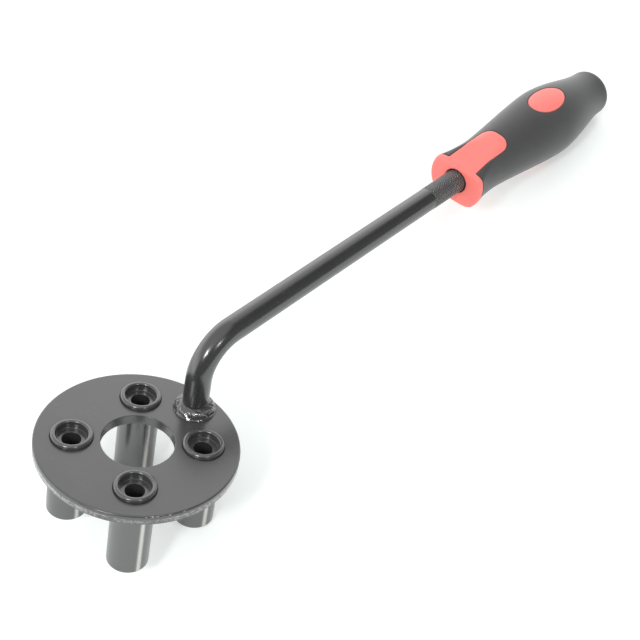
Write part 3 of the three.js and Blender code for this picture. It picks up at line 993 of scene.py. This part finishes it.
# Darkest and palest shade of each paint and of the rubber, then the shade of its rubbed or dusty spots
PLATE_SHADES = (0.040, 0.054)
PLATE_RUBBED = 0.078
POST_SHADES = (0.024, 0.056)
BAR_SHADES = (0.018, 0.028)
BAR_SCUFFED = 0.05
KNURL_CREST_SHADE = 0.2
WELD_SHADES = (0.026, 0.044)
RUBBER_SHADES = (0.038, 0.053)
RUBBER_DUSTY = 0.12
RED_SHADES = ((0.90, 0.19, 0.162), (0.95, 0.212, 0.185))
RED_SCUFFED = (0.95, 0.34, 0.30)
# Depth of the finest relief of each finish
PLATE_RELIEF = 0.02 * MM
POST_RELIEF = 0.002 * MM
BAR_RELIEF = 0.006 * MM
WELD_RELIEF = 0.05 * MM
RED_RELIEF = 0.012 * MM
RUBBER_RELIEF = 0.03 * MM


def plate_paint():
    """Satin black over steel: powder grain, slow mottling, rubbing marks, and bare flecks on the rim, partly
    painted reflection on its wall.
    """
    finish, where = new_finish("satin black paint")
    mottle = finish.noise(where, 55, 4.0)
    grain = finish.noise(where, 2600, 2.0)
    rub = finish.ramp(finish.noise(where, 260, 4.0, 0.6, (1, 0.12, 1)), 0.56, 0.72)
    streak = finish.noise(finish.measure(), 500, 3.0, 0.6, (1.5, 0.1, 1))
    fleck = finish.noise(where, 650, 4.0, 0.6)
    # Bare steel in the rim's nicks and on its wall, where it is partly painted reflection
    bare_and_painted_shine = finish.ramp(finish.wear_and_painted_shine() * (0.35 + fleck * 1.3) + streak * 0.7, 0.8, 1.6)
    paint = finish.mix(mottle, *PLATE_SHADES)
    paint = finish.mix(rub * 0.12, paint, PLATE_RUBBED)
    return finish.surface({
        "Base Color": finish.mix(bare_and_painted_shine, paint, BARE_STEEL_AND_PAINTED_SHINE),
        "Metallic": bare_and_painted_shine * 0.6,
        "Roughness": 0.22 + mottle * 0.07 + rub * 0.02 + bare_and_painted_shine * 0.1,
        "IOR": 1.82,
        "Normal": finish.bump(grain + mottle * 0.4 - bare_and_painted_shine * 0.5, PLATE_RELIEF),
    })


def post_paint():
    """Semi-gloss black over turned steel: faint lathe rings, painted reflection bands along the post, bare
    steel at the worn foot and in a painted highlight stripe.
    """
    finish, where = new_finish("semi-gloss black on posts")
    rings = finish.noise(finish.measure(), 900, 2.0, 0.5, (1, 0.02, 1))
    painted_reflection_bands = finish.noise(finish.measure(), 260, 2.0, 0.5, (0.03, 1, 1))
    cloud = finish.noise(where, 90, 3.0)
    peel = finish.noise(where, 1100, 2.0)
    speck = finish.noise(where, 900, 3.0)
    # Bare steel at the worn foot, and as the painted highlight stripe
    bare_and_painted_shine = finish.ramp(finish.wear_and_painted_shine() + speck * 0.12, 0.2, 1.1)
    # Painted reflection: random pale and dark bands along the post stand for the reflection stripes of a
    # glossy cylinder
    paint = finish.mix(cloud * 0.4 + painted_reflection_bands * 0.6, *POST_SHADES)
    return finish.surface({
        "Base Color": finish.mix(bare_and_painted_shine, paint, BARE_STEEL_AND_PAINTED_SHINE),
        "Metallic": bare_and_painted_shine,
        "Roughness": 0.19 + cloud * 0.06 + rings * 0.04,
        "IOR": 2.0,
        "Normal": finish.bump(rings * 0.3 + peel, POST_RELIEF),
    })


def bar_paint():
    """Gloss black over drawn bar: faint draw lines along it, soft scuffs and a knurl with paler crests."""
    finish, where = new_finish("gloss black on bar")
    lines = finish.noise(finish.measure(), 700, 3.0, 0.5, (0.02, 1, 1))
    cloud = finish.noise(where, 70, 3.0)
    peel = finish.noise(where, 900, 2.0)
    scuff = finish.ramp(finish.noise(where, 320, 5.0, 0.65), 0.6, 0.75)
    crest = finish.wear_and_painted_shine()
    paint = finish.mix(scuff * 0.3, finish.mix(cloud, *BAR_SHADES), BAR_SCUFFED)
    return finish.surface({
        "Base Color": finish.mix(crest * 0.5, paint, KNURL_CREST_SHADE),
        "Metallic": crest * 0.25,
        "Roughness": 0.20 + cloud * 0.07 + scuff * 0.1 + crest * 0.02,
        "IOR": 1.9,
        "Normal": finish.bump(lines * 0.6 + peel, BAR_RELIEF),
    })


def weld_steel():
    """Weld metal under thin black paint, glossy, with painted glints of bare-looking metal on the crest of
    its roll.
    """
    finish, where = new_finish("painted weld")
    spatter = finish.noise(where, 1300, 4.0, 0.6)
    cloud = finish.noise(where, 260, 3.0)
    # Painted glint: pale metal where the roll's crest faces the camera and lamps
    painted_glint = finish.ramp(cloud * 0.5 + finish.wear_and_painted_shine() * 0.7, 0.45, 0.85)
    return finish.surface({
        "Base Color": finish.mix(painted_glint, finish.mix(spatter, *WELD_SHADES), WELD_PAINTED_GLINT_COLOUR),
        "Metallic": painted_glint,
        "Roughness": 0.12 + spatter * 0.1,
        "IOR": 2.0,
        "Normal": finish.bump(spatter + cloud, WELD_RELIEF),
    })


def red_plastic():
    """Hard red moulding: even satin skin with a faint spark grain, slow flow marks and soft scuffs."""
    finish, where = new_finish("red moulding")
    flow = finish.noise(where, 45, 3.0)
    grain = finish.noise(where, 2200, 2.0)
    scuff = finish.ramp(finish.noise(where, 380, 5.0, 0.65), 0.62, 0.78)
    return finish.surface({
        "Base Color": finish.mix(scuff * 0.25, finish.mix(flow, *RED_SHADES), RED_SCUFFED),
        "Roughness": 0.40 + grain * 0.1 + scuff * 0.08,
        "Normal": finish.bump(grain + flow * 0.5, RED_RELIEF),
    })


def black_rubber():
    """Soft black sleeve: fine leathery grain, a dusty bloom in patches and paler rubbed lips."""
    finish, where = new_finish("soft black sleeve")
    grain = finish.noise(where, 1500, 3.0, 0.6)
    bloom = finish.noise(where, 60, 4.0)
    dust = finish.ramp(finish.noise(where, 520, 5.0, 0.7), 0.6, 0.8)
    rubber = finish.mix(bloom, *RUBBER_SHADES)
    return finish.surface({
        "Base Color": finish.mix(dust * 0.4 + finish.wear_and_painted_shine() * 0.15, rubber, RUBBER_DUSTY),
        "Roughness": 0.56 + grain * 0.12 + dust * 0.08,
        "Sheen Weight": 0.4,
        "Sheen Roughness": 0.4,
        "Normal": finish.bump(grain + bloom * 0.3, RUBBER_RELIEF),
    })


# Pieces

make_piece("plate", plate_patches(), plate_paint(), "base_plate")
post_finish = post_paint()
for number in range(POST_COUNT):
    post_node = f"drive_post_{number + 1}"
    make_piece(f"post_{number + 1}", post_patches(number), post_finish, post_node)
make_piece("bar", bar_patches(), bar_paint(), "cranked_bar")
make_piece("weld", weld_patches(), weld_steel(), "weld_bead")
make_piece("red_core", core_patches(), red_plastic(), "handle_core")
make_piece("grip_sleeve", sleeve_patches(), black_rubber(), "handle_sleeve")


# Floor, light and camera

FLOOR_REACH = 0.9
FLOOR_NEAR_EDGE = -0.33
FLOOR_DROP = 0.0002
FLOOR_TINT = (0.78, 0.82, 0.805)
# How much paler the tint's clouds are, and how far the sheet shines towards the rays that see it
FLOOR_CLOUD = 1.02
FLOOR_LIFT = 0.27
SEEING_RAYS = ("Camera", "Glossy", "Transmission")
# Level of the light from the sides and from overhead, the upward shares of direction between which one gives
# way to the other, and the level of the plain background itself
SKY_LEVEL = 2.0
SKY_TOP = 0.9
SKY_FALL = (0.3, 0.7)
SKY_SEEN = 1.2
# The dark side of the room: its heading from +X towards +Y, the cosines of the angles from it between which
# it sets in, the upward shares of direction between which it ends, and the share of the light that it takes
# from reflections and from all else
DIM_HEADING = np.radians(-95)
DIM_EDGE = (-0.22, 0.09)
DIM_TOP = (0.7, 0.9)
DIM_SHINE = 0.9
DIM_REST = 0.4
LAMP_DISTANCE = 1.3
# Heading and height above the bench of each lamp in degrees, its side in metres and its power in watts
LAMPS = {"left lamp": (-163, 48, 0.17, 4.6), "right lamp": (-99, 41, 0.11, 1.7)}
CAMERA_AT = (-0.319874, -0.274491, 0.499958)
CAMERA_HEADING = np.radians(44.307)
CAMERA_DOWN = np.radians(50.534)
CAMERA_ROLL = np.radians(-3.395)
CAMERA_LENS = 70.334


def ray_share(finish, kind):
    """1 for rays of a kind, such as those from the camera or from a shiny surface, and 0 for all others."""
    return finish.node("LightPath", {}, f"Is {kind} Ray")


def make_floor():
    """A plain pale sheet, seen a little brighter than its own shading: white with soft shadow."""
    finish, where = new_finish("pale floor")
    cloud = finish.noise(where, 6, 2.0)
    seen = sum(ray_share(finish, kind) for kind in SEEING_RAYS)
    lift = finish.node("Emission", {"Color": colour(1.0), "Strength": seen * FLOOR_LIFT})
    tint = finish.mix(cloud, FLOOR_TINT, tuple(np.array(FLOOR_TINT) * FLOOR_CLOUD))
    sheet = finish.node("BsdfDiffuse", {"Color": tint})
    both = finish.node("AddShader", {0: sheet, 1: lift})
    finish.end("OutputMaterial", both)
    across, along = np.array([[-1, 1, 1, -1], [0, 0, 1, 1]])
    sideways = FLOOR_NEAR_EDGE + along * (FLOOR_REACH - FLOOR_NEAR_EDGE)
    corners = np.stack([across * FLOOR_REACH, sideways, np.full(4, -FLOOR_DROP)], axis=-1)
    mesh = bpy.data.meshes.new("floor")
    mesh.from_pydata(corners, [], [(0, 1, 2, 3)])
    mesh.materials.append(finish.owner)
    floor = add_object("floor", mesh)


def make_sky():
    """Light from all round: bright at the horizon and dimmer overhead, with one side of the room dark."""
    finish = Finish(bpy.data.worlds.new("studio"))
    direction = {"Vector": finish.node("TexCoord", {}, "Generated")}
    x, y, z = (finish.node("SeparateXYZ", direction, axis) for axis in "XYZ")
    level = SKY_LEVEL - finish.ramp(z, *SKY_FALL) * (SKY_LEVEL - SKY_TOP)
    ahead = x * np.cos(DIM_HEADING) + y * np.sin(DIM_HEADING)
    dark = finish.ramp(ahead, *DIM_EDGE) * (1 - finish.ramp(z, *DIM_TOP))
    share = DIM_REST + ray_share(finish, "Glossy") * (DIM_SHINE - DIM_REST)
    level = level * (1 - dark * share)
    seen = ray_share(finish, "Camera")
    level = level * (1 - seen) + seen * SKY_SEEN
    sky = finish.node("Background", {"Color": colour(1.0), "Strength": level})
    finish.end("OutputWorld", sky)
    bpy.context.scene.world = finish.owner


def make_lamps():
    """Two square lamps on either side of the camera, turned to the middle of the bench."""
    for name, (heading, height, side, power) in LAMPS.items():
        heading, height = np.radians([heading, height])
        away = Vector((np.cos(heading) * np.cos(height), np.sin(heading) * np.cos(height), np.sin(height)))
        light = bpy.data.lights.new(name, "AREA")
        light.size = side
        light.energy = power
        lamp = add_object(name, light)
        lamp.location = away * LAMP_DISTANCE
        lamp.rotation_euler = away.to_track_quat("Z", "Y").to_euler()


def make_camera():
    """A camera from its place, heading, downward angle and roll."""
    flat = np.array([np.cos(CAMERA_HEADING), np.sin(CAMERA_HEADING), 0])
    forward = np.cos(CAMERA_DOWN) * flat - np.sin(CAMERA_DOWN) * np.array([0, 0, 1])
    level = np.array([np.sin(CAMERA_HEADING), -np.cos(CAMERA_HEADING), 0])
    above = np.cross(level, forward)
    right = np.cos(CAMERA_ROLL) * level + np.sin(CAMERA_ROLL) * above
    up = np.cross(right, forward)
    data = bpy.data.cameras.new("camera")
    data.lens = CAMERA_LENS
    camera = add_object("camera", data)
    turn = Matrix(np.stack([right, up, -forward], axis=1).tolist()).to_4x4()
    camera.matrix_world = Matrix.Translation(CAMERA_AT) @ turn
    bpy.context.scene.camera = camera


make_floor()
make_sky()
make_lamps()
make_camera()
bpy.context.scene.view_settings.view_transform = "Standard"
